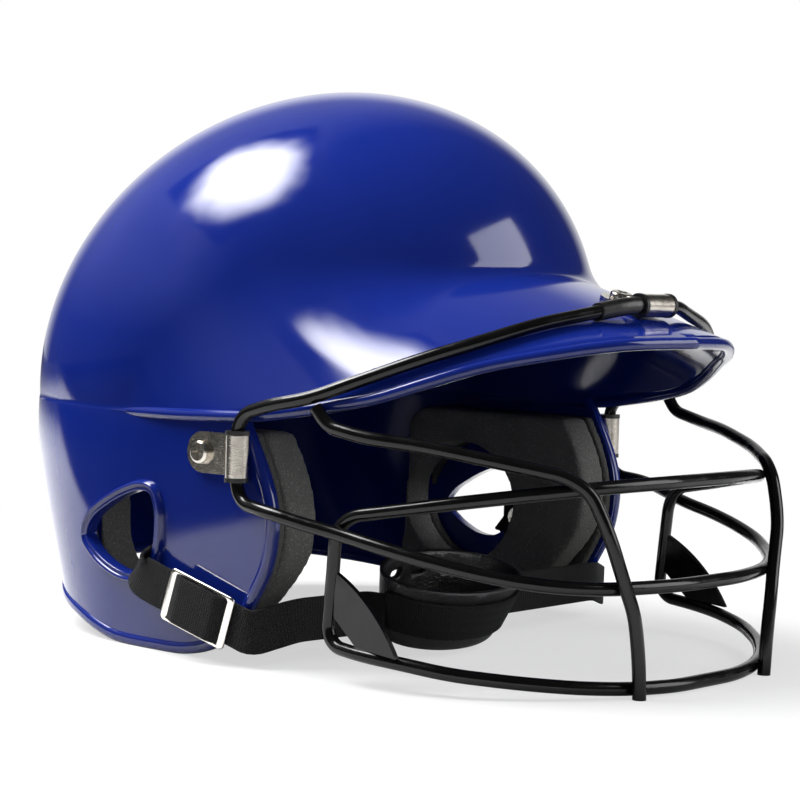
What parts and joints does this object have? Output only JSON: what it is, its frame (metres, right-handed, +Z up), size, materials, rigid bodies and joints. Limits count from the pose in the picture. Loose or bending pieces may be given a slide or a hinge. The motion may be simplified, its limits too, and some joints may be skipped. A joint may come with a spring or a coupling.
{
  "type": "batting helmet with face guard",
  "caption": "Hard moulded batting helmet with a short bill, ear flaps with ear holes, a wire face guard, inner pads and a chin strap with a cup.",
  "frame": {"origin": "on the table under the helmet, half way across its width and its length", "axes": "+Z up; -Y where the wearer looks, through the face guard; -X to the wearer's right"},
  "size_m": [0.2228, 0.3217, 0.2138],
  "materials": {
    "shell_plastic": "polished, royal blue, moulded",
    "coated_wire": "black dip coat over steel wire, gloss",
    "nickel_steel": "nickel plated, satin",
    "cushion_rubber": "matt black rubber",
    "pad_backing": "thin dense foam board, matt",
    "pad_foam": "dark grey speckled foam, matt",
    "cup_plastic": "soft black plastic, low sheen",
    "webbing": "black woven webbing",
    "rivet_steel": "satin rivet",
    "bright_metal": "bright plated wire"
  },
  "bodies": {
    "helmet": {"shell": "shell_plastic", "cage_main_loop": "coated_wire", "cage_lower_loop": "coated_wire", "cage_bar_left": "coated_wire", "cage_bar_right": "coated_wire", "cage_gusset_left": "coated_wire", "cage_gusset_right": "coated_wire", "clip_right": "nickel_steel", "clip_left": "nickel_steel", "clip_front": "nickel_steel", "cushion_right": "cushion_rubber", "cushion_left": "cushion_rubber", "cushion_front": "cushion_rubber", "clip_screws": "nickel_steel", "clip_washers": "nickel_steel", "clip_nuts": "nickel_steel", "pad_backing_right": "pad_backing", "pad_backing_left": "pad_backing", "pad_foam_right": "pad_foam", "pad_foam_left": "pad_foam", "forehead_pad": "pad_foam", "crown_pad": "pad_foam", "nape_pad": "pad_foam", "side_pad_right": "pad_foam", "side_pad_left": "pad_foam", "strap_root_right": "webbing", "strap_root_left": "webbing", "strap_rivets": "rivet_steel"},
    "chin_strap": {"chin_strap": "webbing", "chin_cup": "cup_plastic"},
    "slider": {"slider_frame": "bright_metal", "slider_webbing": "webbing"}
  },
  "joints": [
    {"name": "chin_strap_swing", "type": "hinge", "parent": "helmet", "child": "chin_strap", "pos_m": [0, 0.027, 0.04], "axis": [1, 0, 0], "range_deg": [0, 70]},
    {"name": "slider_slide", "type": "slide", "parent": "chin_strap", "child": "slider", "axis": [0.1295, -0.9509, -0.2812], "range_m": [-0.005, 0.005]}
  ]
}
